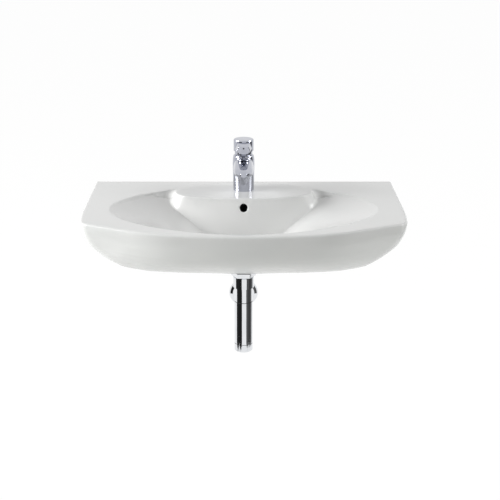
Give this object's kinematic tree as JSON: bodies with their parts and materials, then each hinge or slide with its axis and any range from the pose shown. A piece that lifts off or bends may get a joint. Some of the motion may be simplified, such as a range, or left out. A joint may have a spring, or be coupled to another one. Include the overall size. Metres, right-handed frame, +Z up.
{
  "type": "wall hung basin",
  "caption": "Wide ceramic wash basin that hangs on a wall, with a bowed front, a raised tap platform, a single lever mixer, a push open waste and a bottle trap.",
  "frame": {"origin": "on the wall's plane, midway between the two wall bolts", "axes": "+X to the right as seen from the front, +Y into the wall, +Z up"},
  "size_m": [0.7998, 0.5398, 0.5181],
  "materials": {
    "glazed_ceramic": "white glaze, glossy",
    "chrome": "polished chrome plate",
    "plated_steel": "bright zinc plate",
    "brass": "turned",
    "rubber": "matt",
    "white_plastic": "moulded",
    "disc_ceramic": "lapped",
    "index_red": "glossy"
  },
  "bodies": {
    "basin_on_wall": {"basin": "glazed_ceramic", "wall_studs": "plated_steel", "wall_bushes": "white_plastic", "wall_washers": "plated_steel", "wall_nuts": "plated_steel", "tap_body": "chrome", "base_seal": "rubber", "tap_stud": "plated_steel", "clamp_pad": "rubber", "clamp_plate": "plated_steel", "clamp_nut": "plated_steel", "aerator_housing": "chrome", "aerator_insert": "white_plastic", "aerator_washer": "rubber", "cartridge_housing": "white_plastic", "cartridge_lid": "white_plastic", "cartridge_nut": "brass", "fixed_disc": "disc_ceramic", "dome": "chrome", "waste_body": "chrome", "waste_seal": "rubber", "cone_seal": "rubber", "back_nut": "chrome", "collar_nut": "chrome", "cone_washer": "rubber", "dip_tube": "white_plastic", "trap_head": "chrome", "head_seal": "rubber", "trap_body": "chrome", "outlet_nut": "chrome", "outlet_washer": "rubber", "outlet_pipe": "chrome"},
    "temperature_carrier": {"cartridge_carrier": "white_plastic", "pivot_pin": "plated_steel"},
    "flow_lever": {"lever": "chrome", "cartridge_stem": "brass", "grub_screw": "plated_steel", "index_button": "index_red"},
    "flow_disc": {"moving_disc": "disc_ceramic", "disc_driver": "white_plastic"},
    "plug": {"plug_cap": "chrome", "plug_stem": "brass", "plug_seal": "rubber"},
    "rosette": {"wall_flange": "chrome"},
    "cup": {"trap_cup": "chrome", "cup_seal": "rubber"}
  },
  "joints": [
    {"name": "temperature_turn", "type": "hinge", "parent": "basin_on_wall", "child": "temperature_carrier", "pos_m": [0, -0.092, 0.176], "axis": [0, 0, 1], "range_deg": [-45, 45]},
    {"name": "flow_lift", "type": "hinge", "parent": "temperature_carrier", "child": "flow_lever", "pos_m": [0, -0.092, 0.176], "axis": [-1, 0, 0], "range_deg": [0, 25]},
    {"name": "disc_slide", "type": "slide", "parent": "temperature_carrier", "child": "flow_disc", "axis": [0, -1, 0], "range_m": [0, 0.0051]},
    {"name": "plug_press", "type": "slide", "parent": "basin_on_wall", "child": "plug", "axis": [0, 0, 1], "range_m": [-0.009, 0]},
    {"name": "rosette_slide", "type": "slide", "parent": "basin_on_wall", "child": "rosette", "axis": [0, 1, 0], "range_m": [-0.06, 0]},
    {"name": "cup_off", "type": "slide", "parent": "basin_on_wall", "child": "cup", "axis": [0, 0, 1], "range_m": [-0.04, 0]}
  ],
  "couplings": [
    {"joint": "disc_slide", "follows": "flow_lift", "m_per_rad": 0.0116}
  ]
}
